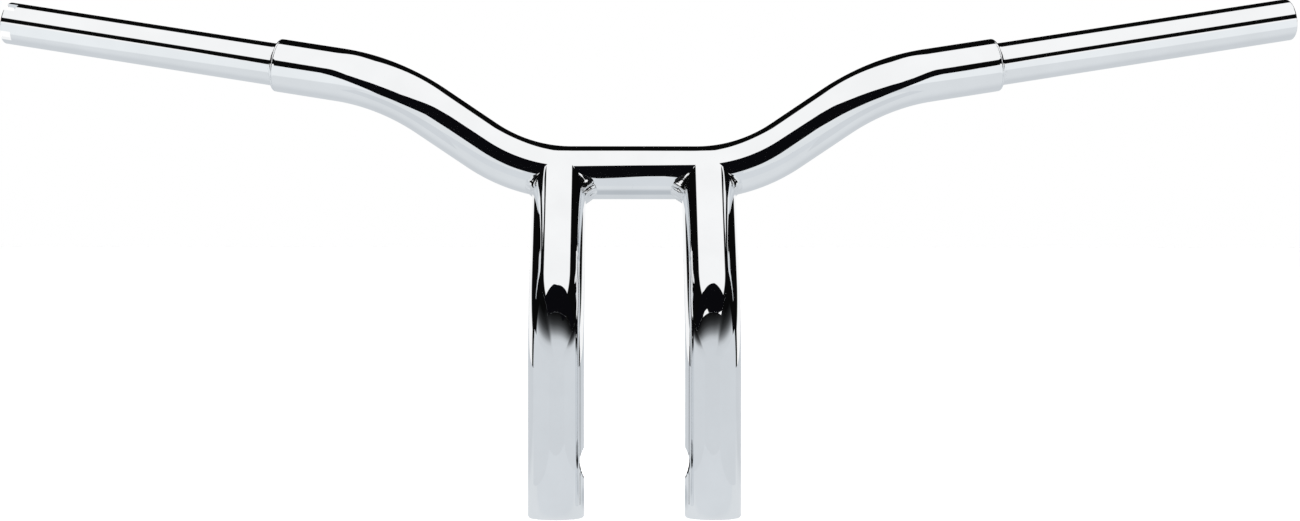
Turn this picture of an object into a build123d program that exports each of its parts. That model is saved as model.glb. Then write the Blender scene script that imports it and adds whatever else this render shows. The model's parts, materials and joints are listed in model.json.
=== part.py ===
from build123d import *
from math import cos, radians, sin
import os

# One-piece motorcycle handlebar with two welded risers.
# Millimetres. Origin: midway between the risers' feet, on the face that sits on the fork yoke.
# +Z up, -Y towards the front wheel, +Y towards the rider, -X the throttle side.

THROTTLE = -1
CLUTCH = 1
SIDE_NAMES = {THROTTLE: "throttle", CLUTCH: "clutch"}

# Tube stock
MAIN_R = 31.75 / 2
MAIN_WALL = 2.85
MAIN_BORE_R = MAIN_R - MAIN_WALL
GRIP_R = 25.4 / 2
GRIP_WALL = 2.4
GRIP_BORE_R = GRIP_R - GRIP_WALL

# Risers: centreline from the foot, up, back through one bend to the cross tube
RISER_SPACING = 88.9
RISE = 196.0
PULL_BACK = 90.0
LEAN = 46.0
RISER_BEND_R = 70.0
COPE_LAND = 3.0
FOOT_CHAMFER = 0.8

# Cross tube: two bends on each side of the straight middle
FIRST_BEND_X = 66.5
SECOND_BEND_X = 146.0
SECOND_BEND_FORWARD = 8.0
SECOND_BEND_UP = 53.5
FIRST_BEND_R = 95.0
SECOND_BEND_R = 115.0
GRIP_RISE = 9.0
GRIP_SWEEP = 12.0
ARM_RUN = {THROTTLE: 68.2, CLUTCH: 72.8}

# Shoulder weld between the cross tube and the grip tube, dressed to a cone
SHOULDER_LENGTH = 3.7
SHOULDER_LIP = 0.4

# Grip tubes: run from the second bend's corner to the open end
GRIP_RUN = {THROTTLE: 244.7, CLUTCH: 267.3}
GRIP_INSERT = 38.0
SPIGOT_GAP = 0.075
SPIGOT_R = MAIN_BORE_R - SPIGOT_GAP
END_ROUND = 0.8

# Keying slots for a throttle sensor
SLOT_WIDTH = 6.35
SLOT_DEPTH = 6.9
SLOT_CLOCK = 51.0

# Wiring passages
PORT_R = 8.75
PORT_HEIGHT = 31.0
INNER_PORT_R = 10.5

# Threaded plugs in the risers' feet
PLUG_GAP = 0.1
PLUG_R = MAIN_BORE_R - PLUG_GAP
PLUG_LENGTH = 20.0
PLUG_CHAMFER = 1.0
TAP_DRILL_R = 5.4
TAP_CHAMFER = 0.4
FOOT_WELD_LEG = 1.5

# Fillet beads between risers and cross tube
BEAD_DABS = 15
BEAD_START = 24.0
BEAD_R_THIN = 1.9
BEAD_R_THICK = 4.3
BISECTIONS = 22

JUNCTION = Vector(0, PULL_BACK, RISE)
UP_RISER = Vector(0, sin(radians(LEAN)), cos(radians(LEAN)))
RISER_FRONT = Vector(0, -cos(radians(LEAN)), sin(radians(LEAN)))
ACROSS = Vector(1, 0, 0)


def grip_direction(side):
    """Unit vector from the second bend to the bar's end: outwards, up and back."""
    out = cos(radians(GRIP_RISE)) * cos(radians(GRIP_SWEEP))
    back = cos(radians(GRIP_RISE)) * sin(radians(GRIP_SWEEP))
    return Vector(side * out, back, sin(radians(GRIP_RISE)))


def grip_corner(side):
    """Corner point of the second bend."""
    return JUNCTION + Vector(side * SECOND_BEND_X, -SECOND_BEND_FORWARD, SECOND_BEND_UP)


def grip_plane(side, run):
    """Plane square to the grip, at a run from the second bend's corner, looking outwards."""
    direction = grip_direction(side)
    level = Vector(0, 0, 1).cross(direction)
    return Plane(grip_corner(side) + direction * run, x_dir=level, z_dir=direction)


def bar_path():
    """Centreline of the cross tube, throttle end to clutch end."""
    ends = {side: grip_plane(side, ARM_RUN[side]).origin for side in SIDE_NAMES}
    firsts = {side: JUNCTION + Vector(side * FIRST_BEND_X, 0, 0) for side in SIDE_NAMES}
    corners = [ends[THROTTLE], grip_corner(THROTTLE), firsts[THROTTLE]]
    corners += [firsts[CLUTCH], grip_corner(CLUTCH), ends[CLUTCH]]
    radii = [SECOND_BEND_R, FIRST_BEND_R, FIRST_BEND_R, SECOND_BEND_R]
    return FilletPolyline(*corners, radius=radii)


def riser_path(side):
    """Centreline of a riser, foot to just short of the cross tube's axis."""
    offset = Vector(side * RISER_SPACING / 2, 0, 0)
    bend_height = RISE - PULL_BACK * cos(radians(LEAN)) / sin(radians(LEAN))
    corner = offset + Vector(0, 0, bend_height)
    top = offset + JUNCTION - UP_RISER * COPE_LAND
    return FilletPolyline(offset, corner, top, radius=RISER_BEND_R)


def rod(path, radius):
    """Solid round bar along a centreline."""
    return sweep(Plane(path @ 0, z_dir=path % 0) * Circle(radius), path=path)


def cone(plane, base_r, tip_r, height):
    """Cone or cylinder standing on a plane."""
    profile = Polyline((0, 0), (base_r, 0), (tip_r, height), (0, height), close=True)
    return plane * revolve(Plane.XZ * make_face(profile), Axis.Z)


def cross_tube():
    """Bent 1 1/4 in tube, open at both ends, with a passage down into each riser."""
    tube = rod(bar_path(), MAIN_R) - rod(bar_path(), MAIN_BORE_R)
    for side in SIDE_NAMES:
        centre = JUNCTION + Vector(side * RISER_SPACING / 2, 0, 0)
        tube -= cone(Plane(centre, z_dir=-UP_RISER), INNER_PORT_R, INNER_PORT_R, MAIN_R + MAIN_WALL)
    return tube


def riser_tube(side):
    """Bent 1 1/4 in tube, coped to the cross tube, with a wiring port in its inner side."""
    path = riser_path(side)
    tube = rod(path, MAIN_R)
    foot = Plane(path @ 0)
    stock_r = MAIN_R + MAIN_WALL
    tube -= cone(foot, stock_r, stock_r, FOOT_CHAMFER) - cone(
        foot, MAIN_R - FOOT_CHAMFER, MAIN_R, FOOT_CHAMFER
    )
    tube -= rod(path, MAIN_BORE_R)
    tube -= cone(foot, MAIN_BORE_R + FOOT_WELD_LEG, MAIN_BORE_R, FOOT_WELD_LEG)
    tube -= rod(bar_path(), MAIN_R)
    port = Plane((side * RISER_SPACING / 2, 0, PORT_HEIGHT), z_dir=(-side, 0, 0))
    return tube - cone(port, PORT_R, PORT_R, stock_r)


def grip_tube(side):
    """Straight 1 in tube with a spigot sleeved into the cross tube, open at the outer end."""
    length = GRIP_RUN[side] - ARM_RUN[side] + GRIP_INSERT
    spigot_length = GRIP_INSERT + SHOULDER_LENGTH
    plane = grip_plane(side, ARM_RUN[side] - GRIP_INSERT)
    profile = Polyline(
        (GRIP_BORE_R, 0),
        (SPIGOT_R, 0),
        (SPIGOT_R, spigot_length),
        (GRIP_R, spigot_length),
        (GRIP_R, length),
        (GRIP_BORE_R, length),
        close=True,
    )
    section = fillet(make_face(profile).vertices().sort_by(Axis.Y)[-2:], END_ROUND)
    tube = plane * revolve(Plane.XZ * section, Axis.Z)
    if side == THROTTLE:
        for turn in (SLOT_CLOCK, SLOT_CLOCK + 90):
            end = grip_plane(side, GRIP_RUN[side]) * Rotation(0, 0, turn)
            tube -= end * Box(2 * MAIN_R, SLOT_WIDTH, 2 * SLOT_DEPTH)
    return tube


def shoulder_weld(side):
    """Ring of weld on the cross tube's end face, ground to a cone down to the grip tube."""
    plane = grip_plane(side, ARM_RUN[side])
    ring = cone(plane, MAIN_R, GRIP_R + SHOULDER_LIP, SHOULDER_LENGTH)
    return ring - cone(plane, SPIGOT_R, SPIGOT_R, SHOULDER_LENGTH)


def seam_point(side, angle):
    """Point where the line along the riser's surface at an angle meets the cross tube."""
    centreline = bar_path()
    foot = JUNCTION + Vector(side * RISER_SPACING / 2, 0, 0)
    start = foot + (RISER_FRONT * cos(angle) + ACROSS * sin(angle)) * MAIN_R
    near, far = 0.0, 2 * MAIN_R
    for _ in range(BISECTIONS):
        middle = (near + far) / 2
        if centreline.distance_to(start - UP_RISER * middle) < MAIN_R:
            near = middle
        else:
            far = middle
    return start - UP_RISER * near


def riser_weld(side):
    """Fillet bead on each flank of the riser's coped end, laid as overlapping dabs."""
    bead = []
    for flank in (-1, 1):
        chain = []
        for dab in range(BEAD_DABS):
            share = dab / (BEAD_DABS - 1)
            angle = radians(BEAD_START + share * (180 - 2 * BEAD_START))
            radius = BEAD_R_THIN + (BEAD_R_THICK - BEAD_R_THIN) * sin(share * radians(180))
            chain.append(Pos(seam_point(side, flank * angle)) * Sphere(radius))
        bead.append(chain[0].fuse(*chain[1:]))
    weld = Part() + bead
    return weld - rod(bar_path(), MAIN_R) - rod(riser_path(side), MAIN_R)


def foot_plug(side):
    """Steel plug inside the riser's foot, tapped from below for the mounting bolt."""
    foot = Plane((side * RISER_SPACING / 2, 0, 0))
    chamfer_start = foot.offset(PLUG_LENGTH - PLUG_CHAMFER)
    plug = cone(foot, PLUG_R - FOOT_WELD_LEG, PLUG_R, FOOT_WELD_LEG)
    body_height = PLUG_LENGTH - FOOT_WELD_LEG - PLUG_CHAMFER
    plug += cone(foot.offset(FOOT_WELD_LEG), PLUG_R, PLUG_R, body_height)
    plug += cone(chamfer_start, PLUG_R, PLUG_R - PLUG_CHAMFER, PLUG_CHAMFER)
    plug -= cone(foot, TAP_DRILL_R, TAP_DRILL_R, PLUG_LENGTH)
    return plug - cone(foot, TAP_DRILL_R + TAP_CHAMFER, TAP_DRILL_R, TAP_CHAMFER)


def foot_weld(side):
    """Ring of weld joining plug and riser, ground flush with the foot's face."""
    foot = Plane((side * RISER_SPACING / 2, 0, 0))
    ring = cone(foot, MAIN_BORE_R + FOOT_WELD_LEG, MAIN_BORE_R, FOOT_WELD_LEG)
    return ring - cone(foot, PLUG_R - FOOT_WELD_LEG, PLUG_R, FOOT_WELD_LEG)


os.makedirs("parts", exist_ok=True)
export_step(cross_tube(), "parts/cross_tube.step")
for side, name in SIDE_NAMES.items():
    export_step(riser_tube(side), f"parts/riser_tube_{name}.step")
    export_step(grip_tube(side), f"parts/grip_tube_{name}.step")
    export_step(shoulder_weld(side), f"parts/shoulder_weld_{name}.step")
    export_step(riser_weld(side), f"parts/riser_weld_{name}.step")
    export_step(foot_plug(side), f"parts/foot_plug_{name}.step")
    export_step(foot_weld(side), f"parts/foot_weld_{name}.step")
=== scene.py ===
import json
import math

import bmesh
import bpy
import numpy as np
from mathutils import Matrix, Vector


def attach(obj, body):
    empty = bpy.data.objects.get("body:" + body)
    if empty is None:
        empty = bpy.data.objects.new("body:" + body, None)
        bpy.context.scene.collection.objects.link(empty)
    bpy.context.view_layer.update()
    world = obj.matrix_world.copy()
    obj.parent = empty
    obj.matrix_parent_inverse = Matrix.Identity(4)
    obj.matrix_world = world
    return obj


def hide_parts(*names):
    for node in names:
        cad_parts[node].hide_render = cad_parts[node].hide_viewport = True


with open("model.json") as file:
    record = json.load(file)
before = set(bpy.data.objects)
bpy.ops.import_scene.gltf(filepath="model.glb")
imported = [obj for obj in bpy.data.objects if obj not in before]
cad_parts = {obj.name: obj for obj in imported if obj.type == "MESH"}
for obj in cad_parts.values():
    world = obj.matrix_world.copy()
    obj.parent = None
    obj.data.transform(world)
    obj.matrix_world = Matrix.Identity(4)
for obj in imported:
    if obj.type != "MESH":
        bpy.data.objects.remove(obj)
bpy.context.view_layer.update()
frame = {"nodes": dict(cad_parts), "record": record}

# ---------------------------------------------------------------- dimensions (metres)
MM = 0.001
THROTTLE, CLUTCH = -1, 1
SIDES = {THROTTLE: "throttle", CLUTCH: "clutch"}
MAIN_R = 15.875 * MM
MAIN_BORE_R = 13.025 * MM
GRIP_R = 12.7 * MM
GRIP_BORE_R = 10.3 * MM
SPIGOT_R = 12.95 * MM
SPACING = 88.9 * MM
X_AXIS = np.array([1.0, 0.0, 0.0])
Y_AXIS = np.array([0.0, 1.0, 0.0])
Z_AXIS = np.array([0.0, 0.0, 1.0])

# risers: straight up from the foot, then leaning back to the cross tube's middle
JUNCTION = np.array([0.0, 90.0, 196.0]) * MM
LEAN = math.radians(46.0)
UP_RISER = np.array([0.0, math.sin(LEAN), math.cos(LEAN)])
RISER_FRONT = np.array([0.0, -math.cos(LEAN), math.sin(LEAN)])
RISER_BEND_R = 70.0 * MM
FOOT_CHAMFER = 0.8 * MM
PORT_R = 8.75 * MM
PORT_Z = 31.0 * MM

# cross tube: two bends on each side, the second one's corner seen from the junction
FIRST_BEND_X = 66.5 * MM
FIRST_BEND_R = 95.0 * MM
SECOND_BEND = np.array([146.0, -8.0, 53.5]) * MM
SECOND_BEND_R = 115.0 * MM
RIM_ROUND = 0.35 * MM
ARM_RUN = {THROTTLE: 68.2 * MM, CLUTCH: 72.8 * MM}

# grip tubes, from the second bend's corner outwards
GRIP_RISE = math.radians(9.0)
GRIP_SWEEP = math.radians(12.0)
GRIP_RUN = {THROTTLE: 244.7 * MM, CLUTCH: 267.3 * MM}
GRIP_INSERT = 38.0 * MM
GRIP_END_ROUND = 0.8 * MM
SHOULDER = 3.7 * MM
SLOT_W = 6.35 * MM
SLOT_D = 6.9 * MM
SLOT_CLOCK = math.radians(51.0)

# foot plugs
PLUG_R = 12.925 * MM
PLUG_LENGTH = 20.0 * MM
PLUG_CHAMFER = 1.0 * MM
FOOT_WELD_LEG = 1.5 * MM
TAP_R = 5.4 * MM
TAP_CHAMFER = 0.4 * MM
THREAD_START = 1.2 * MM
THREAD_PITCH = 1.954 * MM
THREAD_DEPTH = 0.95 * MM

# weld fillet between riser and cross tube; the flanks that face each other are fuller
FILLET_R = 5.0
FILLET_R_INWARD = 6.6
FILLET_BACKING = 0.9 * MM
DAB_LENGTH = 4.2 * MM

# mesh density
AROUND = 128
GRIP_AROUND = 160
SLOT_CELLS = 14
PLUG_AROUND = 96
WELD_AROUND = 288
WELD_ACROSS = 21
SHOULDER_ROWS = 40
PLUG_ROWS = 160
FOOT_WELD_ROWS = 8
STEP = 1.6 * MM
FINE_STEP = 0.25 * MM
COPE_ROWS = 22
BISECTIONS = 26


def unit(v):
    """The same direction with length 1."""
    return v / np.linalg.norm(v, axis=-1, keepdims=True)


def mix(a, b, share):
    return tuple(x + (y - x) * share for x, y in zip(a, b))


def smooth(value, start, end):
    """0 before the start, 1 past the end, eased in between."""
    t = min(max((value - start) / (end - start), 0.0), 1.0)
    return t * t * (3 - 2 * t)


def along(pairs, x):
    """Height at x of the broken line through (x, height) pairs."""
    return float(np.interp(x, [p[0] for p in pairs], [p[1] for p in pairs]))


def grip_direction(side):
    """Unit vector along a grip: outwards, back and up."""
    out = side * math.cos(GRIP_RISE) * math.cos(GRIP_SWEEP)
    back = math.cos(GRIP_RISE) * math.sin(GRIP_SWEEP)
    return np.array([out, back, math.sin(GRIP_RISE)])


def grip_corner(side):
    """Corner of the second bend."""
    return JUNCTION + SECOND_BEND * np.array([side, 1.0, 1.0])


def arm_end(side):
    """Centre of the cross tube's end face."""
    return grip_corner(side) + grip_direction(side) * ARM_RUN[side]


def riser_axis(side):
    """Middle of the riser's foot."""
    return X_AXIS * (side * SPACING / 2)


def running_length(points):
    """Distance along a line of points, from its first one."""
    steps = np.linalg.norm(np.diff(points, axis=0), axis=1)
    return np.concatenate([[0], np.cumsum(steps)])


def repeated(row, count):
    return np.repeat(row[None], count, 0)


def turns(count):
    """Angles evenly spaced round a full turn."""
    return np.linspace(0, 2 * math.pi, count, endpoint=False)


# ---------------------------------------------------------------- centrelines
def filleted(corners, radii, step=STEP):
    """Evenly stepped points and unit tangents along straight runs joined by arcs."""
    runs, here = [], corners[0]
    for before, corner, after, radius in zip(corners, corners[1:], corners[2:], radii):
        a, b = unit(corner - before), unit(after - corner)
        turn = math.acos(float(np.clip(a @ b, -1, 1)))
        back = radius * math.tan(turn / 2)
        inward = unit(b - a * (a @ b))
        runs.append(("line", here, corner - a * back, a))
        runs.append(("arc", corner - a * back, a, inward, radius, turn))
        here = corner + b * back
    runs.append(("line", here, corners[-1], unit(corners[-1] - here)))
    points, tangents = [], []
    for kind, start, *run in runs:
        if kind == "line":
            end, heading = run
            length = np.linalg.norm(end - start)
            share = np.linspace(0, 1, max(2, round(length / step)) + 1)[:, None]
            points.append(start + (end - start) * share)
            tangents.append(repeated(heading, len(share)))
        else:
            heading, inward, radius, turn = run
            th = np.linspace(0, turn, max(2, round(radius * turn / step)) + 1)[:, None]
            points.append(start + radius * (heading * np.sin(th) + inward * (1 - np.cos(th))))
            tangents.append(heading * np.cos(th) + inward * np.sin(th))
        points[-1], tangents[-1] = points[-1][1:], tangents[-1][1:]
    first = unit(corners[1] - corners[0])
    return np.vstack([corners[0]] + points), np.vstack([first] + tangents)


def bar_centreline(step=STEP):
    """Centreline of the cross tube, throttle end to clutch end."""
    throttle_half, clutch_half = (
        [arm_end(side), grip_corner(side), JUNCTION + X_AXIS * (side * FIRST_BEND_X)] for side in SIDES
    )
    radii = [SECOND_BEND_R, FIRST_BEND_R, FIRST_BEND_R, SECOND_BEND_R]
    return filleted(throttle_half + clutch_half[::-1], radii, step)


def riser_centreline(side):
    """Centreline of a riser, foot to the cross tube's axis."""
    foot = riser_axis(side)
    bend = foot + Z_AXIS * (JUNCTION[2] - JUNCTION[1] / math.tan(LEAN))
    return filleted([foot, bend, foot + JUNCTION], [RISER_BEND_R])


def carried_frames(tangents, first_up):
    """Two cross-section axes at every point, carried along without twist."""
    ups = [unit(first_up - tangents[0] * (first_up @ tangents[0]))]
    for before, after in zip(tangents, tangents[1:]):
        axis = np.cross(before, after)
        sine, cosine = np.linalg.norm(axis), before @ after
        up = ups[-1]
        if sine > 1e-9:
            axis = axis / sine
            up = up * cosine + np.cross(axis, up) * sine + axis * (axis @ up) * (1 - cosine)
        ups.append(unit(up - after * (up @ after)))
    ups = np.array(ups)
    return ups, np.cross(tangents, ups)


def rings(points, ups, sides, radii, angles):
    """Grid of points: one ring per centreline point, with its own radius."""
    spoke = ups[:, None] * np.cos(angles)[..., None] + sides[:, None] * np.sin(angles)[..., None]
    return points[:, None] + spoke * np.asarray(radii).reshape(-1, 1, 1)


# ---------------------------------------------------------------- meshes
def add_object(name, verts, faces, sharp=35.0):
    """Mesh object with merged points, outward faces and creases past the sharp angle."""
    mesh = bpy.data.meshes.new(name)
    mesh.from_pydata([tuple(v) for v in verts], [], faces)
    mesh.update()
    work = bmesh.new()
    work.from_mesh(mesh)
    bmesh.ops.remove_doubles(work, verts=work.verts, dist=1e-7)
    bmesh.ops.recalc_face_normals(work, faces=work.faces)
    work.to_mesh(mesh)
    work.free()
    mesh.shade_smooth()
    mesh.set_sharp_from_angle(angle=math.radians(sharp))
    piece = bpy.data.objects.new(name, mesh)
    bpy.context.scene.collection.objects.link(piece)
    return piece


def shell(name, outer, inner, kept=None, sharp=35.0):
    """Closed wall between two wrapping grids of the same shape; cells not kept are open through."""
    rows, cols = outer.shape[:2]
    if kept is None:
        kept = np.ones((rows - 1, cols), bool)
    skin = rows * cols
    faces = []

    def vertex(row, col, layer):
        return layer * skin + row * cols + col % cols

    for row in range(rows - 1):
        for col in range(cols):
            if not kept[row, col]:
                continue
            ring = [(row, col), (row, col + 1), (row + 1, col + 1), (row + 1, col)]
            faces.append([vertex(r, c, 0) for r, c in ring])
            faces.append([vertex(r, c, 1) for r, c in reversed(ring)])
            gaps = [
                (row == 0 or not kept[row - 1, col], ring[0], ring[1]),
                (not kept[row, (col + 1) % cols], ring[1], ring[2]),
                (row == rows - 2 or not kept[row + 1, col], ring[2], ring[3]),
                (not kept[row, col - 1], ring[3], ring[0]),
            ]
            for open_edge, a, b in gaps:
                if open_edge:
                    faces.append([vertex(*b, 0), vertex(*a, 0), vertex(*a, 1), vertex(*b, 1)])
    verts = np.concatenate([outer.reshape(-1, 3), inner.reshape(-1, 3)])
    return add_object(name, verts, faces, sharp)


def drop_loose(piece):
    """Deletes the points that no face uses."""
    work = bmesh.new()
    work.from_mesh(piece.data)
    bmesh.ops.delete(work, geom=[v for v in work.verts if not v.link_faces], context="VERTS")
    work.to_mesh(piece.data)
    work.free()


def edge_round(length, radius, steps=6):
    """Distances from the end and drops in radius of a rounded outer rim, coming to the end."""
    th = np.linspace(0, math.pi / 2, steps)
    return length - radius * (1 - np.sin(th)), radius * (1 - np.cos(th))


# ---------------------------------------------------------------- cross tube
def build_cross_tube():
    """Bent main tube with softly rounded end rims."""
    points, tangents = bar_centreline()
    run = running_length(points)
    extra, drop = edge_round(0.0, RIM_ROUND)
    head = points[0] - tangents[0] * extra[::-1, None]
    tail = points[-1] + tangents[-1] * extra[:, None]
    inside = (run > 1.5 * RIM_ROUND) & (run < run[-1] - 1.5 * RIM_ROUND)
    centres = np.vstack([head, points[inside], tail])
    frames = [
        np.vstack([repeated(axis[0], len(extra)), axis[inside], repeated(axis[-1], len(extra))])
        for axis in carried_frames(tangents, Z_AXIS)
    ]
    radii = np.concatenate([MAIN_R - drop[::-1], np.full(inside.sum(), MAIN_R), MAIN_R - drop])
    outer = rings(centres, *frames, radii, turns(AROUND))
    inner = rings(centres, *frames, np.full(len(centres), MAIN_BORE_R), turns(AROUND))
    return shell("bent_cross_tube", outer, inner)


# ---------------------------------------------------------------- seam between riser and cross tube
FINE_BAR, _ = bar_centreline(FINE_STEP)


def off_bar(point):
    """Distance to the cross tube's centreline, and the nearest point on it."""
    gaps = FINE_BAR - point
    distance = np.sqrt((gaps * gaps).sum(1))
    best = int(distance.argmin())
    return distance[best], FINE_BAR[best]


def depth_to_bar(start):
    """How far down the riser from a point inside the cross tube its skin is reached."""
    near, far = 0.0, 2 * MAIN_R
    for _ in range(BISECTIONS):
        middle = (near + far) / 2
        if off_bar(start - UP_RISER * middle)[0] < MAIN_R:
            near = middle
        else:
            far = middle
    return near


def riser_spoke(angle):
    """Unit vector square to the leaning riser: 0 points to its front."""
    return RISER_FRONT * math.cos(angle) + X_AXIS * math.sin(angle)


# ---------------------------------------------------------------- risers
def build_riser(side):
    """Riser with a chamfered foot, coped to the cross tube, with its wiring port cut in."""
    points, tangents = riser_centreline(side)
    fronts = np.cross(X_AXIS, tangents)
    run = running_length(points)
    body = (run > 2 * FOOT_CHAMFER) & (run < run[-1] - 2 * MAIN_R - 2 * MM)
    foot_rows = np.array([0.0, 0.3, 0.6, 0.8, 0.95, 1.3]) * MM
    foot_drop = np.array([0.8, 0.5, 0.2, 0.04, 0.0, 0.0]) * MM
    centres = np.vstack([points[0] + tangents[0] * foot_rows[:, None], points[body]])
    frames = (
        np.vstack([repeated(fronts[0], len(foot_rows)), fronts[body]]),
        repeated(X_AXIS, len(centres)),
    )
    angles = turns(AROUND)
    spokes = np.array([riser_spoke(angle) for angle in angles])
    skin_radii = np.concatenate([MAIN_R - foot_drop, np.full(body.sum(), MAIN_R)])
    bore_radii = np.full(len(centres), MAIN_BORE_R)
    top_depth = run[-1] - run[body][-1]
    share = np.arange(1, COPE_ROWS + 1)[:, None, None] / COPE_ROWS
    grids = []
    for radii, radius in ((skin_radii, MAIN_R), (bore_radii, MAIN_BORE_R)):
        starts = points[-1] + spokes * radius
        depths = np.array([depth_to_bar(start) for start in starts])[:, None]
        cope = starts - UP_RISER * (top_depth + (depths - top_depth) * share)
        grids.append(np.concatenate([rings(centres, *frames, radii, angles), cope]))
    outer, inner = grids
    kept = cut_port(outer, inner, side)
    piece = shell(f"riser_tube_{SIDES[side]}_skin", outer, inner, kept)
    drop_loose(piece)
    return piece


def cut_port(outer, inner, side):
    """Opens the wiring port in the riser's inner flank and draws its rim to a true circle."""
    axis_x = side * SPACING / 2
    cols = outer.shape[1]
    after = np.roll(outer, -1, axis=1)
    middles = (outer[:-1] + outer[1:] + after[:-1] + after[1:]) / 4
    inside = np.hypot(middles[..., 1], middles[..., 2] - PORT_Z) < PORT_R
    kept = ~(inside & ((middles[..., 0] - axis_x) * side < 0))
    rim = set()
    for row, col in np.argwhere(~kept).tolist():
        right = (col + 1) % cols
        edges = [
            (kept[row - 1, col], (row, col), (row, right)),
            (kept[row + 1, col], (row + 1, col), (row + 1, right)),
            (kept[row, col - 1], (row, col), (row + 1, col)),
            (kept[row, right], (row, right), (row + 1, right)),
        ]
        for closed_beyond, a, b in edges:
            if closed_beyond:
                rim |= {a, b}
    for grid, radius in ((outer, MAIN_R), (inner, MAIN_BORE_R)):
        for place in rim:
            y, z = grid[place][1], grid[place][2] - PORT_Z
            scale = PORT_R / max(math.hypot(y, z), 1e-9)
            y, z = y * scale, z * scale
            x = math.sqrt(max(radius * radius - y * y, 0.0))
            grid[place] = (axis_x - side * x, y, z + PORT_Z)
    return kept


# ---------------------------------------------------------------- weld at the riser's top
def wobble(x, seed):
    """Smooth uneven wave between -1 and 1."""
    slow = math.sin(x * 1.7 + seed) * 0.5
    medium = math.sin(x * 3.1 + seed * 2.3) * 0.3
    quick = math.sin(x * 7.3 + seed * 0.7) * 0.2
    return slow + medium + quick


def between_tangents(low, high, normal_low, normal_high, out):
    """Point where the tangent lines at both ends of a fillet cross, kept within the fillet's reach."""
    chord = high - low
    reach = float(np.linalg.norm(chord))
    chord = chord / reach
    out = unit(out - chord * (out @ chord))
    system = np.array([[chord @ n, out @ n] for n in (normal_low, normal_high)])
    if abs(np.linalg.det(system)) < 0.02:  # the tangent lines run almost side by side
        return (low + high) / 2
    run, rise = np.linalg.solve(system, np.array([0.0, reach * (chord @ normal_high)]))
    run = min(max(run, 0.2 * reach), 0.8 * reach)
    rise = min(max(rise, -0.8 * reach), 0.1 * reach)
    return low + chord * run + out * rise


def weld_seam(side):
    """Round the coped end: spokes, seam points, bar's normals, and the fillet's ways down and away."""
    spokes = np.array([riser_spoke(angle) for angle in turns(WELD_AROUND)])
    starts = riser_axis(side) + JUNCTION + spokes * MAIN_R
    seam = starts - UP_RISER * np.array([depth_to_bar(start) for start in starts])[:, None]
    bar_normals = unit(seam - np.array([off_bar(point)[1] for point in seam]))
    tangents = unit(np.roll(seam, -1, 0) - np.roll(seam, 1, 0))
    down = np.cross(spokes, tangents)
    down = np.where((down @ UP_RISER)[:, None] > 0, -down, down)
    away = np.cross(bar_normals, tangents)
    away = np.where((away * spokes).sum(1)[:, None] < 0, -away, away)
    return spokes, seam, bar_normals, down, away


def build_riser_weld(side):
    """Fillet all round the coped end: dressed flush in front, left as rippled dabs on the flanks."""
    angles = turns(WELD_AROUND)
    spokes, seam, bar_normals, down, away = weld_seam(side)
    run = running_length(seam) / MM
    v = np.linspace(0, 1, WELD_ACROSS)[:, None]
    arch = 4 * v * (1 - v)
    outer = np.zeros((len(v), len(angles), 3))
    inner = np.zeros((len(v), len(angles), 3))
    for j, angle in enumerate(angles):
        turn = abs((math.degrees(angle) + 180) % 360 - 180)  # degrees from the riser's front
        inward = math.sin(angle) * side < 0
        rough = smooth(turn, 62, 78) * (1 - smooth(turn, 128, 150)) * (1.0 if inward else 0.45)
        # both ends of the fillet, brought onto the two tubes' skins
        corner = math.acos(min(max(float(spokes[j] @ bar_normals[j]), -1.0), 1.0))
        dressed = 0.06 + 0.94 * smooth(turn, 40, 70)
        leg = (FILLET_R_INWARD if inward else FILLET_R) * math.tan(corner / 2) * dressed + 0.25
        leg *= MM * (1 + 0.1 * rough * wobble(run[j] * 0.45, side * 2.0))
        low, normal_low = onto_riser(seam[j] + down[j] * leg, seam[j] - spokes[j] * MAIN_R)
        high, normal_high = onto_bar(seam[j] + away[j] * leg)
        lift_axis = unit(spokes[j] + bar_normals[j])
        bend = between_tangents(low, high, normal_low, normal_high, lift_axis)
        # concave curve between them, raised into dabs where it is rough
        curve = (1 - v) ** 2 * low + 2 * v * (1 - v) * bend + v**2 * high
        scallop = abs(math.sin(math.pi * run[j] * MM / DAB_LENGTH))
        bulge = rough * (1.0 + 0.9 * scallop + 0.4 * wobble(run[j] * 0.8, 5 + side))
        sink = 0.015 + 0.35 * (1 - smooth(turn, 40, 56)) + 0.2 * rough * (2 * v - 1) ** 6
        outer[:, j] = curve + lift_axis * (bulge * arch**0.8 - sink) * MM
        corner_path = np.where(
            v < 0.5,
            low + (seam[j] - low) * (2 * v),
            seam[j] + (high - seam[j]) * (2 * v - 1),
        )
        inner[:, j] = corner_path - lift_axis * FILLET_BACKING
    return shell(f"riser_weld_{SIDES[side]}_bead", outer, inner, sharp=60)


def onto_riser(point, on_axis):
    """Nearest point of the leaning riser's skin, and the normal there."""
    foot = on_axis + UP_RISER * ((point - on_axis) @ UP_RISER)
    normal = unit(point - foot)
    return foot + normal * MAIN_R, normal


def onto_bar(point):
    """Nearest point of the cross tube's skin, and the normal there."""
    nearest = off_bar(point)[1]
    normal = unit(point - nearest)
    return nearest + normal * MAIN_R, normal


# ---------------------------------------------------------------- turned pieces
def turned(name, base, axis, up, profile_out, profile_in, cols=AROUND, sharp=35.0):
    """Hollow turned piece: matching lists of (distance along, radius) for its outside and inside."""
    up = unit(up - axis * (up @ axis))
    sideways = np.cross(axis, up)
    grids = []
    for profile in (profile_out, profile_in):
        stations = np.array([p[0] for p in profile])
        centres = base + axis * stations[:, None]
        frames = (repeated(up, len(stations)), repeated(sideways, len(stations)))
        grids.append(rings(centres, *frames, [p[1] for p in profile], turns(cols)))
    return shell(name, *grids, sharp=sharp)


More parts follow.
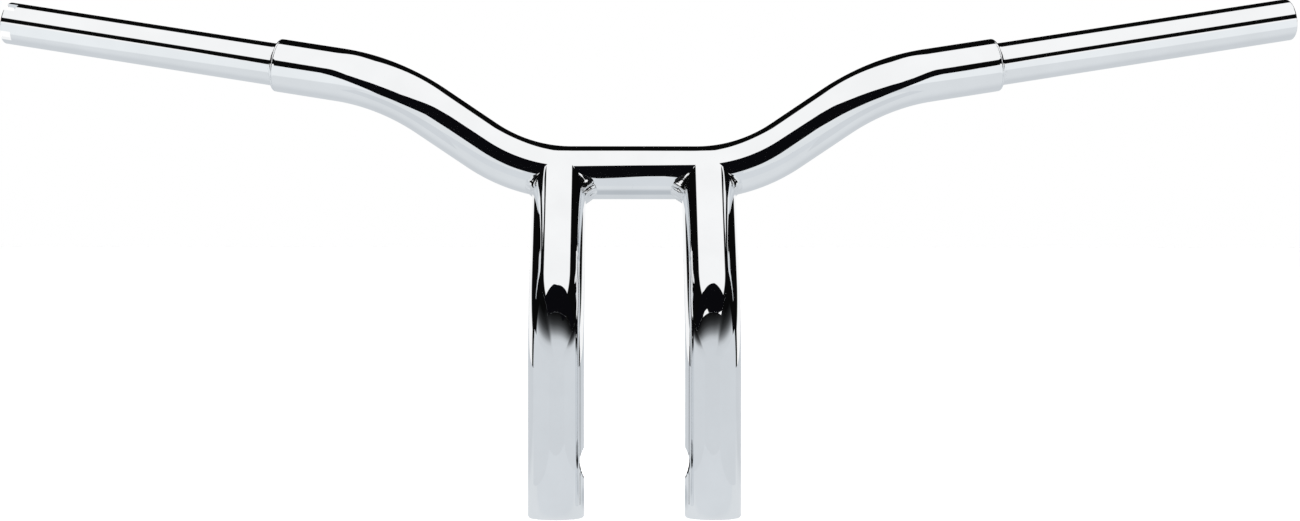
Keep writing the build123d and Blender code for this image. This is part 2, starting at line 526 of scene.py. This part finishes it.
def matched(profile, count):
    """The same profile resampled to a set number of points, evenly by length."""
    pts = np.array(profile)
    run = running_length(pts)
    at = np.linspace(0, run[-1], count)
    return list(zip(np.interp(at, run, pts[:, 0]), np.interp(at, run, pts[:, 1])))


def build_shoulder(side):
    """Ring of weld dressed down from the main tube to the grip tube."""
    outline = [
        (0.0, MAIN_R - 0.45 * MM),
        (0.12 * MM, MAIN_R - 0.12 * MM),
        (0.35 * MM, MAIN_R - 0.04 * MM),
        (0.8 * MM, MAIN_R - 0.1 * MM),
        (1.15 * MM, MAIN_R - 0.3 * MM),
        (1.95 * MM, GRIP_R + 0.48 * MM),
        (2.3 * MM, GRIP_R + 0.28 * MM),
        (2.9 * MM, GRIP_R + 0.16 * MM),
        (SHOULDER, GRIP_R + 0.04 * MM),
    ]
    bore = [(0.0, SPIGOT_R), (SHOULDER, SPIGOT_R)]
    name = f"shoulder_weld_{SIDES[side]}_cone"
    profiles = matched(outline, SHOULDER_ROWS), matched(bore, SHOULDER_ROWS)
    return turned(name, arm_end(side), grip_direction(side), Z_AXIS, *profiles, sharp=30)


def build_plug(side):
    """Steel plug in the riser's foot, threaded for the mounting bolt."""
    outline = [
        (0.0, PLUG_R - FOOT_WELD_LEG),
        (FOOT_WELD_LEG, PLUG_R),
        (PLUG_LENGTH - PLUG_CHAMFER, PLUG_R),
        (PLUG_LENGTH, PLUG_R - PLUG_CHAMFER),
    ]
    thread = [(0.0, TAP_R + TAP_CHAMFER), (TAP_CHAMFER, TAP_R)]
    place = THREAD_START
    while place + THREAD_PITCH < PLUG_LENGTH:
        thread += [
            (place, TAP_R),
            (place + 0.45 * THREAD_PITCH, TAP_R + THREAD_DEPTH),
            (place + 0.55 * THREAD_PITCH, TAP_R + THREAD_DEPTH),
            (place + THREAD_PITCH, TAP_R),
        ]
        place += THREAD_PITCH
    thread += [(PLUG_LENGTH, TAP_R)]
    name = f"foot_plug_{SIDES[side]}_tapped"
    profiles = matched(outline, PLUG_ROWS), matched(thread, PLUG_ROWS)
    return turned(name, riser_axis(side), Z_AXIS, -Y_AXIS, *profiles, PLUG_AROUND)


def build_foot_weld(side):
    """Ring of weld between plug and riser, ground flush with the foot."""
    outline = [(0.0, MAIN_BORE_R + FOOT_WELD_LEG - 0.05 * MM), (FOOT_WELD_LEG, MAIN_BORE_R - 0.01 * MM)]
    inside = [(0.0, PLUG_R - FOOT_WELD_LEG + 0.05 * MM), (FOOT_WELD_LEG, PLUG_R + 0.005 * MM)]
    name = f"foot_weld_{SIDES[side]}_ring"
    profiles = matched(outline, FOOT_WELD_ROWS), matched(inside, FOOT_WELD_ROWS)
    return turned(name, riser_axis(side), Z_AXIS, -Y_AXIS, *profiles, PLUG_AROUND)


# ---------------------------------------------------------------- grip tubes
def slotted_angles(radius):
    """Angles round an end with four slots: a slot's cells, then those of the land after it."""
    half = math.asin(SLOT_W / 2 / radius)
    slot = np.linspace(-half, half, SLOT_CELLS, endpoint=False)
    land = np.linspace(half, math.pi / 2 - half, GRIP_AROUND // 4 - SLOT_CELLS, endpoint=False)
    quarter = np.concatenate([slot, land])
    return SLOT_CLOCK + np.concatenate([quarter + k * math.pi / 2 for k in range(4)])


def build_grip(side):
    """Grip tube with its spigot; the throttle side's end has four slots."""
    direction = grip_direction(side)
    base = arm_end(side) - direction * GRIP_INSERT
    length = GRIP_RUN[side] - ARM_RUN[side] + GRIP_INSERT
    slotted = side == THROTTLE
    end_start = length - (SLOT_D if slotted else 2 * MM)
    spigot = np.array([0.0, 0.3, 1.0, 12.0, 24.0, 36.0, 41.6]) * MM
    bare = np.linspace(GRIP_INSERT + SHOULDER, end_start, 110)
    end = np.linspace(end_start, length - 0.9 * MM, 9 if slotted else 4)[1:]
    rim, rim_drop = edge_round(length, GRIP_END_ROUND, 7)
    stations = np.concatenate([spigot, bare, end, rim])
    skin_radii = np.full(len(stations), GRIP_R)
    skin_radii[: len(spigot)] = SPIGOT_R
    skin_radii[-len(rim) :] -= rim_drop
    bore_radii = np.full(len(stations), GRIP_BORE_R)
    level = unit(np.cross(Z_AXIS, direction))
    frames = (repeated(level, len(stations)), repeated(np.cross(direction, level), len(stations)))
    centres = base + direction * stations[:, None]
    kept = np.ones((len(stations) - 1, GRIP_AROUND), bool)
    grids = []
    for radii, radius in ((skin_radii, GRIP_R), (bore_radii, GRIP_BORE_R)):
        angles = slotted_angles(radius) if slotted else turns(GRIP_AROUND)
        grids.append(rings(centres, *frames, radii, angles))
    if slotted:
        first = int(np.argmin(abs(stations - end_start)))
        kept[first:, np.tile(np.arange(GRIP_AROUND // 4) < SLOT_CELLS, 4)] = False
    piece = shell(f"grip_tube_{SIDES[side]}_skin", *grids, kept)
    drop_loose(piece)
    return piece


# ---------------------------------------------------------------- looks
def node(tree, kind, place, **values):
    """New shader node; each value sets a property or, failing that, the socket of that name."""
    made = tree.nodes.new(kind)
    made.location = place
    for key, value in values.items():
        if hasattr(made, key):
            setattr(made, key, value)
        else:
            made.inputs[key.replace("_", " ")].default_value = value
    return made


def empty_material(name):
    """Material with an empty node tree."""
    material = bpy.data.materials.new(name)
    material.use_nodes = True
    material.node_tree.nodes.clear()
    return material


def noise(tree, place, source, scale, detail, roughness):
    made = node(tree, "ShaderNodeTexNoise", place, Scale=scale, Detail=detail, Roughness=roughness)
    tree.links.new(source, made.inputs["Vector"])
    return made.outputs["Fac"]


def bumped(tree, place, height, strength, distance):
    made = node(tree, "ShaderNodeBump", place, Strength=strength, Distance=distance)
    tree.links.new(height, made.inputs["Height"])
    return made


PATCH_SCALE = 38.0
HAIRLINE_STRETCH = (30.0, 900.0, 900.0)


def plated(name, colour, rough, wear, bump, grain_scale, brushed=0.0):
    """Plated metal: faint orange peel, hairline polishing marks and patchy roughness."""
    material = empty_material(name)
    tree = material.node_tree
    link = tree.links.new
    output = node(tree, "ShaderNodeOutputMaterial", (900, 0))
    surface = node(tree, "ShaderNodeBsdfPrincipled", (620, 0), Metallic=1.0)
    link(surface.outputs["BSDF"], output.inputs["Surface"])
    coords = node(tree, "ShaderNodeTexCoord", (-1200, 0)).outputs["Object"]
    peel = noise(tree, (-700, -300), coords, grain_scale, 2.0, 0.45)
    patches = noise(tree, (-700, 200), coords, PATCH_SCALE, 4.0, 0.6)

    stretch = node(tree, "ShaderNodeMapping", (-950, -600), Scale=HAIRLINE_STRETCH)
    link(coords, stretch.inputs["Vector"])
    hairlines = noise(tree, (-700, -600), stretch.outputs["Vector"], 1.0, 3.0, 0.5)

    rough_map = node(tree, "ShaderNodeMapRange", (-250, 200), From_Min=0.35, From_Max=0.75)
    rough_map.inputs["To Min"].default_value = rough
    rough_map.inputs["To Max"].default_value = rough + wear
    link(patches, rough_map.inputs["Value"])
    link(rough_map.outputs["Result"], surface.inputs["Roughness"])

    tint = node(tree, "ShaderNodeValToRGB", (-250, 450))
    dull, bright = tint.color_ramp.elements
    dull.position, dull.color = 0.3, (*(c * 0.96 for c in colour), 1.0)
    bright.position, bright.color = 0.7, (*colour, 1.0)
    link(patches, tint.inputs["Fac"])
    link(tint.outputs["Color"], surface.inputs["Base Color"])

    first = bumped(tree, (100, -300), peel, bump, 0.00015)
    second = bumped(tree, (340, -300), hairlines, 0.02 + brushed, 0.00003)
    link(first.outputs["Normal"], second.inputs["Normal"])
    link(second.outputs["Normal"], surface.inputs["Normal"])
    return material


LOOKS = {
    "chrome": plated("chrome", (0.93, 0.94, 0.95), 0.008, 0.014, 0.05, 160.0),
    "dressed_weld": plated("dressed_weld", (0.93, 0.94, 0.95), 0.03, 0.05, 0.06, 420.0),
    "weld_bead": plated("weld_bead", (0.90, 0.91, 0.92), 0.05, 0.08, 0.35, 900.0),
    "plug_steel": plated("plug_steel", (0.60, 0.60, 0.61), 0.24, 0.14, 0.2, 500.0, 0.3),
}


def dress(piece, slot, *nodes):
    """Gives a piece its look and puts it in place of its CAD nodes."""
    piece.data.materials.clear()
    piece.data.materials.append(LOOKS[slot])
    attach(piece, "root")
    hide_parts(*nodes)


dress(build_cross_tube(), "chrome", "cross_tube")
for side, word in SIDES.items():
    dress(build_riser(side), "chrome", f"riser_tube_{word}")
    dress(build_grip(side), "chrome", f"grip_tube_{word}")
    dress(build_shoulder(side), "dressed_weld", f"shoulder_weld_{word}")
    dress(build_riser_weld(side), "weld_bead", f"riser_weld_{word}")
    dress(build_plug(side), "plug_steel", f"foot_plug_{word}")
    dress(build_foot_weld(side), "dressed_weld", f"foot_weld_{word}")

for entry in frame["record"]["subparts"]:
    cad = frame["nodes"][entry["node"]]
    cad.data.materials.clear()
    cad.data.materials.append(LOOKS[entry["material_slot"]])


# ---------------------------------------------------------------- studio
FAR = 9.0
WALL_TOP = 6.0
WHITE = 0.985
BLACK = (0.003, 0.003, 0.004)


def glow(name, colour):
    """Material that gives off one even colour."""
    material = empty_material(name)
    tree = material.node_tree
    output = node(tree, "ShaderNodeOutputMaterial", (300, 0))
    light = node(tree, "ShaderNodeEmission", (0, 0), Strength=1.0)
    light.inputs["Color"].default_value = (*colour, 1.0)
    tree.links.new(light.outputs["Emission"], output.inputs["Surface"])
    return material


def stage_mesh(name, mesh, material, seen):
    """Studio piece that either only the camera sees, or only reflections."""
    made = bpy.data.objects.new(name, mesh)
    made.data.materials.append(material)
    bpy.context.scene.collection.objects.link(made)
    made.visible_camera = seen == "camera"
    made.visible_glossy = seen == "reflections"
    made.visible_volume_scatter = seen == "reflections"
    made.visible_diffuse = False
    made.visible_shadow = False
    made.visible_transmission = False


def panel(name, corners, material):
    """Flat panel that only the camera sees."""
    mesh = bpy.data.meshes.new(name)
    mesh.from_pydata(corners, [], [list(range(len(corners)))])
    mesh.update()
    stage_mesh(name, mesh, material, "camera")


def tone(name):
    """Glow read from the card's own vertex colours."""
    material = glow(name, (1.0, 1.0, 1.0))
    tree = material.node_tree
    light = next(n for n in tree.nodes if n.type == "EMISSION")
    source = node(tree, "ShaderNodeVertexColor", (-300, 0), layer_name="tone")
    tree.links.new(source.outputs["Color"], light.inputs["Color"])
    return material


def card(name, us, vs, place, shade):
    """Card that only reflections see, over a grid of two parameters, coloured point by point."""
    grid = [(u, v) for v in vs for u in us]
    wide = len(us)
    corners = [r * wide + c for r in range(len(vs) - 1) for c in range(wide - 1)]
    mesh = bpy.data.meshes.new(name)
    mesh.from_pydata([place(*p) for p in grid], [], [[k, k + 1, k + wide + 1, k + wide] for k in corners])
    layer = mesh.color_attributes.new("tone", "FLOAT_COLOR", "POINT")
    for index, point in enumerate(grid):
        layer.data[index].color = (*shade(*point), 1.0)
    mesh.update()
    stage_mesh(name, mesh, tone(name), "reflections")


def scaled(colour, share):
    return tuple(share * c for c in colour)


# what the camera sees: a pale floor and pale walls all round
floor_look = bpy.data.materials.new("pale_floor")
floor_look.use_nodes = True
floor_surface = floor_look.node_tree.nodes["Principled BSDF"]
floor_surface.inputs["Base Color"].default_value = (0.80, 0.80, 0.80, 1.0)
floor_surface.inputs["Roughness"].default_value = 0.9
floor_surface.inputs["Specular IOR Level"].default_value = 0.0
floor_surface.inputs["Emission Color"].default_value = (1.0, 1.0, 1.0, 1.0)
floor_surface.inputs["Emission Strength"].default_value = 0.62
panel("floor", [(-FAR, -FAR, 0), (FAR, -FAR, 0), (FAR, FAR, 0), (-FAR, FAR, 0)], floor_look)

wall_look = glow("pale_wall", (1.0, 1.0, 1.0))
WALL = FAR * 0.99
plan = [(-WALL, WALL), (WALL, WALL), (WALL, -WALL), (-WALL, -WALL)]
for index, name in enumerate(("back_wall", "right_wall", "front_wall", "left_wall")):
    (x0, y0), (x1, y1) = plan[index], plan[(index + 1) % 4]
    panel(name, [(x0, y0, -1), (x1, y1, -1), (x1, y1, WALL_TOP), (x0, y0, WALL_TOP)], wall_look)

# what the chrome sees below it: a floor card with painted light and shade, brightest in front, darker
# behind, with a painted shadow round the bar's middle
GREY = (0.955, 1.0, 1.045)
FLOOR_FRONT = (0.735, 0.765, 0.79)
FLOOR_BACK = (0.635, 0.665, 0.695)
FLOOR_SHADOW_UNDER_BAR = (0.50, 0.535, 0.57)
FLOOR_SIDE_LIT = (0.875, 0.905, 0.925)
# (x, y) where the side strips of painted light on the floor end, in metres
SIDE_END = [(-0.60, 0.01), (-0.55, -0.015), (-0.47, -0.09), (-0.40, -0.18), (-0.32, -0.30)]
SIDE_END += [(0.38, -0.48), (0.45, -0.38), (0.52, -0.25), (0.58, -0.16), (0.64, -0.10)]


def floor_shade(x, y):
    """Colour of the mirrored floor, painted light and shade: plain under the shelf, painted light aside, a
    painted shadow darkest round the bar's middle.
    """
    if abs(x) < 0.25 and -0.41 < y < -0.03:
        return scaled(GREY, 0.73)
    # painted light: the floor lit brighter in front, fading darker behind
    colour = mix(FLOOR_FRONT, FLOOR_BACK, smooth(y, 0.06, 0.26))
    # painted light on the side strips, out past the grips
    side_end = along(SIDE_END, x)
    aside = (1 - smooth(y, side_end - 0.03, side_end + 0.03)) * smooth(abs(x), 0.26, 0.34)
    colour = mix(colour, FLOOR_SIDE_LIT, aside)
    # painted shadow, darkest round the bar's middle
    return mix(colour, FLOOR_SHADOW_UNDER_BAR, 1.0 - smooth(math.hypot(x / 1.2, y - 0.105), 0.03, 0.085))


fine = [k * 0.02 for k in range(-30, 31)]
edge = [0.8, 1.2, 2.5, 5.0, FAR]
spread = [-e for e in reversed(edge)] + fine + edge
card("mirror_floor", spread, spread, lambda x, y: (x, y, 0.0), floor_shade)

# close in front: a black flag hanging over a shelf, its outline as (x, height) in millimetres
FLAG_Y = -0.037
FLAG_TOP = [(-255, 296), (-247, 287), (-235, 280), (-220, 271), (-202, 256), (-177, 246), (-151, 242)]
FLAG_TOP += [(-127, 250), (-105, 259), (-68, 271), (-45, 262), (-38, 259), (0, 268), (30, 273), (65, 281)]
FLAG_TOP += [(90, 272), (119, 262), (167, 252), (196, 250), (214, 262), (235, 280), (248, 293), (258, 302)]
FLAG_LOW = [(-255, 257), (-247, 240), (-234, 216), (-224, 191), (-214, 163), (-187, 166), (-165, 175)]
FLAG_LOW += [(-144, 184), (-124, 178), (-105, 166), (-84, 152), (-72, 149), (-28, 149), (-22, 138)]
FLAG_LOW += [(-12, 144), (-4, 151), (8, 160), (20, 161), (30, 149), (60, 149), (71, 155), (85, 162)]
FLAG_LOW += [(99, 178), (118, 192), (158, 184), (201, 175), (220, 186), (230, 207), (241, 237)]
FLAG_LOW += [(253, 254), (258, 262)]


def flag_place(u, v):
    low = along(FLAG_LOW, u)
    return (u * MM, FLAG_Y, (low + v * (along(FLAG_TOP, u) - low)) * MM)


card("front_flag", [2.5 * k for k in range(-102, 104)], [0.0, 1.0], flag_place, lambda u, v: BLACK)

# the shelf, seen only in reflections: painted light on top, its underside a painted shade fading from black
# round each riser out to grey
SHELF_Z = 0.150
SHELF_HALF = 235.0
SHELF_MIDDLE = 75.0
SHELF_END = 400.0
SHELF_PITCH = 5.0
# painted shade under the shelf: (distance from the nearer riser in mm, share of GREY)
FADE = [(38, 0.003), (50, 0.018), (60, 0.05), (72, 0.15), (84, 0.31), (97, 0.53), (113, 0.655), (160, 0.69)]
# painted light on the shelf's top: dimmer near the risers, brighter further out
SHELF_NEAR = (0.78, 0.81, 0.83)
SHELF_FAR = (0.90, 0.92, 0.93)


def underside_shade(u, v):
    """Painted shade: grey that depends on the distance from the nearer riser, and fades in sooner at the
    sides.
    """
    reach = math.hypot(max(abs(u) - SPACING / MM / 2, 0.0), v)
    reach *= 1.0 - 0.28 * smooth(abs(u), 70, 95)
    return scaled(GREY, along(FADE, reach))


# painted light on the shelf's top
def shelf_top_shade(u, v):
    return mix(SHELF_NEAR, SHELF_FAR, smooth(v, 40, 260))


def shelf_span(name, left, right, start):
    """Underside and top of the shelf between two x values, from a start in front of the risers' axis."""
    us = [left + SHELF_PITCH * k for k in range(round((right - left) / SHELF_PITCH) + 1)]
    vs = [start + 4 * k for k in range(40)] + [260, SHELF_END]
    card(f"shelf_underside_{name}", us, vs, lambda u, v: (u * MM, -v * MM, SHELF_Z), underside_shade)
    top = SHELF_Z + 0.05 * MM
    card(f"shelf_top_{name}", us, vs, lambda u, v: (u * MM, -v * MM, top), shelf_top_shade)


shelf_span("middle", -SHELF_MIDDLE, SHELF_MIDDLE, 36.5)
shelf_span("left", -SHELF_HALF, -SHELF_MIDDLE, 0.0)
shelf_span("right", SHELF_MIDDLE, SHELF_HALF, 0.0)
shelf_height = [0, SHELF_Z / MM]
card(
    "shelf_end",
    [-SHELF_HALF, SHELF_HALF],
    shelf_height,
    lambda u, v: (u * MM, -SHELF_END * MM, v * MM),
    lambda u, v: scaled(GREY, 0.69),
)
for name, x in (("left", -SHELF_HALF), ("right", SHELF_HALF)):
    card(
        f"shelf_side_{name}",
        [-40, SHELF_END],
        shelf_height,
        lambda u, v, x=x: (x * MM, -u * MM, v * MM),
        lambda u, v: scaled(GREY, 0.70),
    )
# thin dark strip between the risers, seen only in reflections: a painted dark reflection line down each
# riser's inner flank
card(
    "painted_dark_reflection_strip",
    [7.4, 10.2],
    [4, 100],
    lambda u, v: (0.0, u * MM, v * MM),
    lambda u, v: (0.05, 0.05, 0.06),
)

# ---------------------------------------------------------------- world
world = bpy.data.worlds.new("studio")
bpy.context.scene.world = world
world.use_nodes = True
tree = world.node_tree
tree.nodes.clear()
link = tree.links.new
sky_out = node(tree, "ShaderNodeOutputWorld", (1500, 0))
sky = node(tree, "ShaderNodeBackground", (1300, 0), Strength=1.0)
link(sky.outputs["Background"], sky_out.inputs["Surface"])
direction = node(tree, "ShaderNodeTexCoord", (-1400, 0))
parts = node(tree, "ShaderNodeSeparateXYZ", (-1200, 0))
link(direction.outputs["Generated"], parts.inputs["Vector"])


def maths(kind, a, b=None, place=(0, 0)):
    """Output of a math node whose inputs are numbers or other outputs."""
    made = node(tree, "ShaderNodeMath", place, operation=kind)
    for index, value in enumerate((a, b)):
        if value is None:
            continue
        if isinstance(value, (int, float)):
            made.inputs[index].default_value = value
        else:
            link(value, made.inputs[index])
    return made.outputs["Value"]


HALF_TURN = 180.0
LOWEST = -20.0


def curve_of(value, pairs, place):
    """Broken line through pairs in degrees, as a float curve from a half turn to one above LOWEST."""
    made = node(tree, "ShaderNodeFloatCurve", place)
    share = maths("DIVIDE", value, HALF_TURN, (place[0] - 180, place[1]))
    link(share, made.inputs["Value"])
    points = made.mapping.curves[0].points
    while len(points) < len(pairs):
        points.new(0.5, 0.5)
    for point, (x, y) in zip(points, pairs):
        point.location = (x / HALF_TURN, (y - LOWEST) / HALF_TURN)
        point.handle_type = "VECTOR"
    made.mapping.update()
    height = maths("MULTIPLY", made.outputs["Value"], HALF_TURN, (place[0] + 300, place[1]))
    return maths("ADD", height, LOWEST, (place[0] + 450, place[1]))


def past(value, edge, soft, place):
    """0 below the edge, 1 above it, with a soft band."""
    share = maths("DIVIDE", maths("SUBTRACT", value, edge, place), soft, (place[0] + 150, place[1]))
    made = node(tree, "ShaderNodeClamp", (place[0] + 300, place[1]))
    link(share, made.inputs["Value"])
    return made.outputs["Result"]


# every direction as an elevation above the level and an azimuth from the front, in degrees
degree = HALF_TURN / math.pi
elevation = maths("MULTIPLY", maths("ARCSINE", parts.outputs["Z"]), degree)
azimuth = maths(
    "MULTIPLY",
    maths("ARCTAN2", maths("ABSOLUTE", parts.outputs["X"]), maths("MULTIPLY", parts.outputs["Y"], -1.0)),
    degree,
)
# the dark surround lies between these two elevations at each azimuth; above it is the overhead light
DARK_TOP = [(0, -19), (19, -10), (26, 13), (29, 20), (32, 23), (36, 25), (43, 27), (48, 32), (54, 43)]
DARK_TOP += [(60, 47), (66, 49), (73, 50), (84, 50), (116, 50), (128, 53), (136, 56), (141, 60)]
DARK_TOP += [(147, 67), (157, 73), (166, 72), (174, 70), (180, 69)]
DARK_LOW = [(0, 5), (22, 5), (25, -10), (28, -20), (30, -18), (31, -9), (32, -3), (33, 3), (36, 5)]
DARK_LOW += [(40, 4), (60, 7), (80, 7), (87, -12), (112, -12), (118, 8), (150, 9), (180, 10)]
SOFT_EDGE = 1.2
over = past(elevation, curve_of(azimuth, DARK_TOP, (-600, 300)), SOFT_EDGE, (0, 300))
under = maths("SUBTRACT", 1.0, past(elevation, curve_of(azimuth, DARK_LOW, (-600, 0)), SOFT_EDGE, (0, 0)))
lit = maths("MAXIMUM", over, under)
level = maths("ADD", maths("MULTIPLY", lit, WHITE), BLACK[0])
colour = node(tree, "ShaderNodeCombineXYZ", (1100, 0))
for channel in range(3):
    link(level, colour.inputs[channel])
link(colour.outputs["Vector"], sky.inputs["Color"])
world.cycles_visibility.camera = False


def lamp(name, place, target, size, power):
    """Soft rectangular light that is seen neither directly nor in reflections."""
    data = bpy.data.lights.new(name, "AREA")
    data.shape = "RECTANGLE"
    data.size, data.size_y = size
    data.energy = power
    made = bpy.data.objects.new(name, data)
    made.location = place
    made.rotation_euler = (Vector(target) - Vector(place)).to_track_quat("-Z", "Y").to_euler()
    made.visible_glossy = False
    made.visible_camera = False
    bpy.context.scene.collection.objects.link(made)


lamp("overhead", (0, 0.1, 2.2), (0, 0.05, 0), (3.0, 3.0), 26.0)

# ---------------------------------------------------------------- camera
# the photograph's own view: from in front, a touch from above and from the left
SENSOR = 36.0
LENS = 73.52308
DISTANCE = 1.501
ELEVATION = math.radians(1.277)
YAW = math.radians(0.673)
ROLL = math.radians(0.038)
TARGET = Vector((0.00868, 0.0, 0.14542))
forward = Vector(
    (math.sin(YAW) * math.cos(ELEVATION), math.cos(YAW) * math.cos(ELEVATION), -math.sin(ELEVATION))
)
right = Vector((math.cos(YAW), -math.sin(YAW), 0.0))
up = right.cross(forward)
right, up = right * math.cos(ROLL) + up * math.sin(ROLL), up * math.cos(ROLL) - right * math.sin(ROLL)
camera_data = bpy.data.cameras.new("camera")
camera_data.sensor_width = SENSOR
camera_data.lens = LENS
camera_data.clip_end = 40.0
camera = bpy.data.objects.new("camera", camera_data)
camera.matrix_world = Matrix(
    (
        (right.x, up.x, -forward.x, 0),
        (right.y, up.y, -forward.y, 0),
        (right.z, up.z, -forward.z, 0),
        (0, 0, 0, 1),
    )
)
camera.location = TARGET - forward * DISTANCE
bpy.context.scene.collection.objects.link(camera)
bpy.context.scene.camera = camera
bpy.context.scene.view_settings.view_transform = "Standard"
